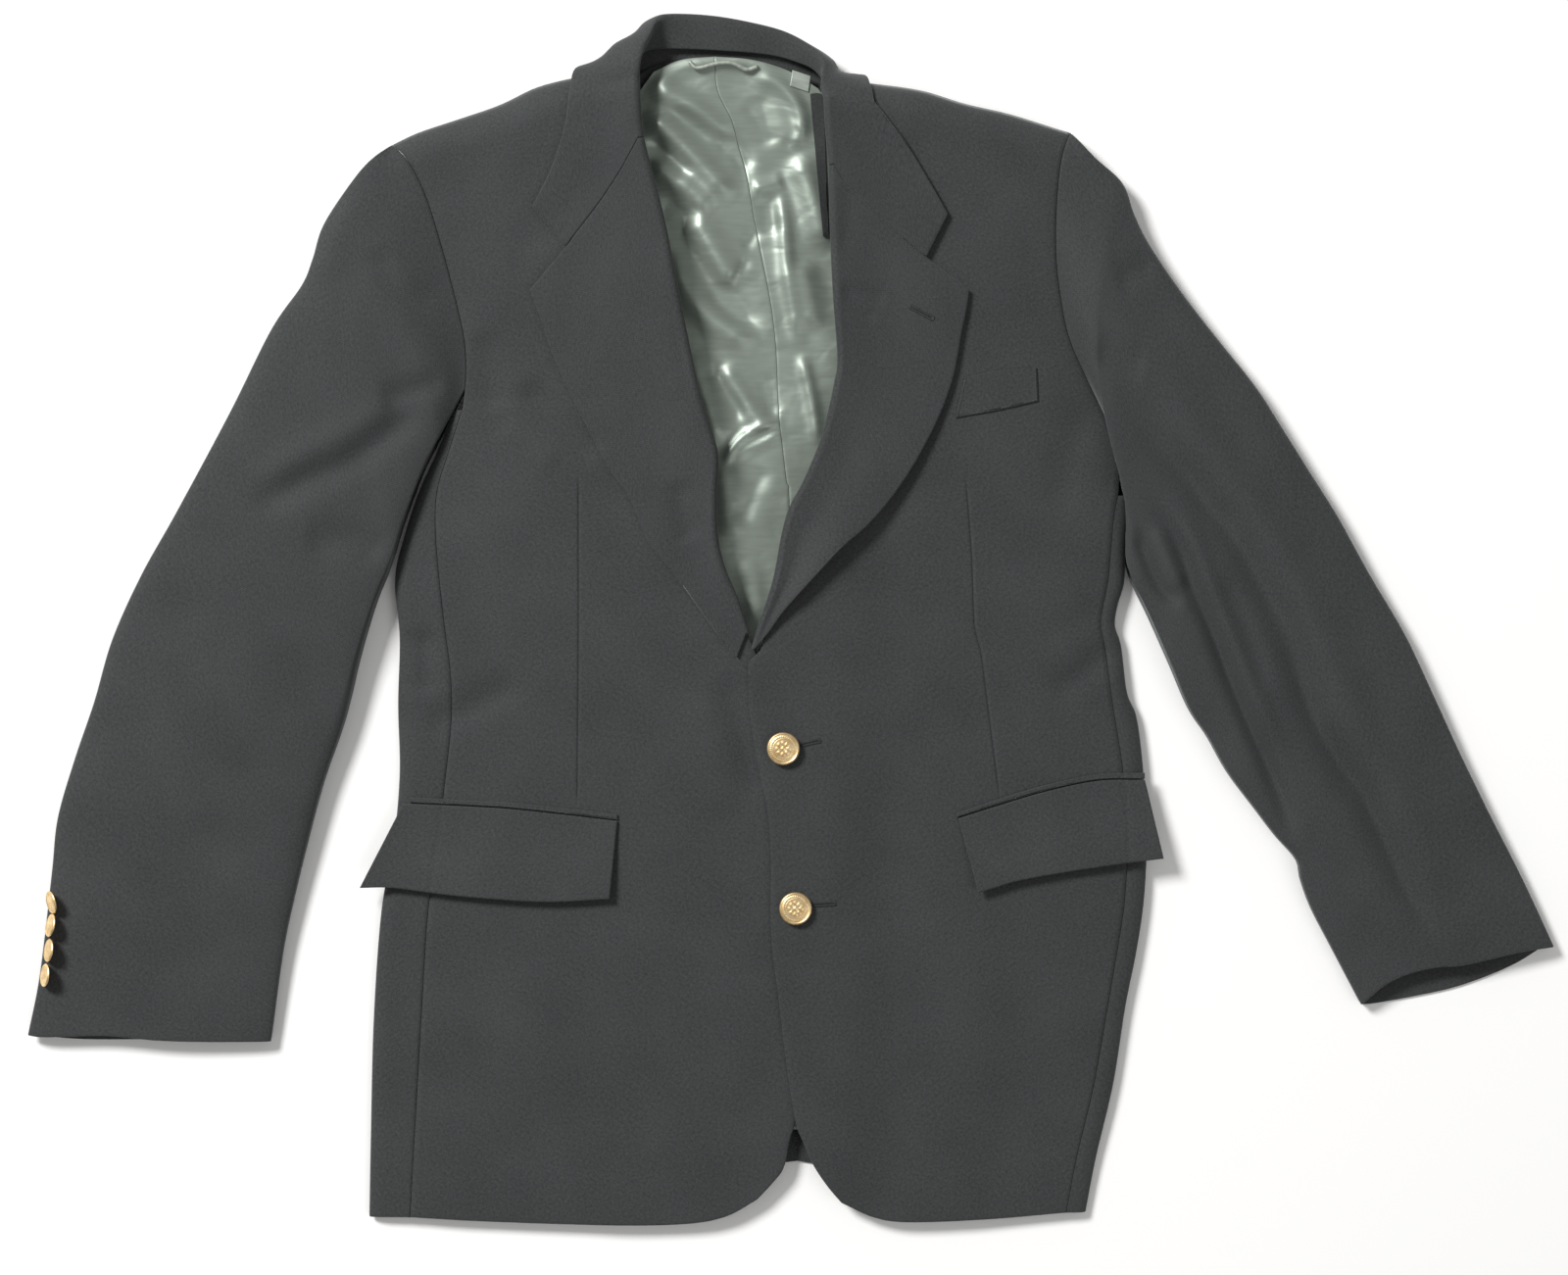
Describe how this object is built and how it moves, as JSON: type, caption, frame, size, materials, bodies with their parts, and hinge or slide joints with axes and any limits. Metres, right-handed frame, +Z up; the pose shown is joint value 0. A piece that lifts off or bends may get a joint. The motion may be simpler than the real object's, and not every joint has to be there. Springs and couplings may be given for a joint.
{
  "type": "blazer",
  "caption": "Single-breasted blazer with notched lapels, flap pockets and metal buttons, laid flat face up and buttoned, its lining showing in the neck opening.",
  "frame": {"origin": "middle of the laid garment's outline, on the table", "axes": "+X to the wearer's left sleeve, +Y to the collar, +Z up off the table through the front"},
  "size_m": [0.998, 0.7918, 0.0342],
  "materials": {
    "charcoal_wool": "fine twill worsted, dark charcoal with a slight green cast, dull with a soft nap",
    "satin_lining": "silver grey-green satin, glossy along its folds",
    "satin_cord": "twisted satin cord",
    "label_weave": "plain woven ribbon with a darker middle, blank",
    "button_gold": "gilt metal, satin polish with darker hollows"
  },
  "bodies": {
    "root": {"back_left": "charcoal_wool", "back_right": "charcoal_wool", "breast_welt": "charcoal_wool", "button_front_lower": "button_gold", "button_front_upper": "button_gold", "button_sleeve_1": "button_gold", "button_sleeve_2": "button_gold", "button_sleeve_3": "button_gold", "button_sleeve_4": "button_gold", "collar": "charcoal_wool", "front_left": "charcoal_wool", "front_right": "charcoal_wool", "hanger_loop": "satin_cord", "lapel_left": "charcoal_wool", "lapel_right": "charcoal_wool", "lining_left": "satin_lining", "lining_right": "satin_lining", "neck_label": "label_weave", "pocket_flap_left": "charcoal_wool", "pocket_flap_right": "charcoal_wool", "pocket_welt_left": "charcoal_wool", "pocket_welt_right": "charcoal_wool", "side_left": "charcoal_wool", "side_right": "charcoal_wool", "sleeve_left_top": "charcoal_wool", "sleeve_left_under": "charcoal_wool", "sleeve_right_top": "charcoal_wool", "sleeve_right_under": "charcoal_wool"}
  },
  "joints": []
}
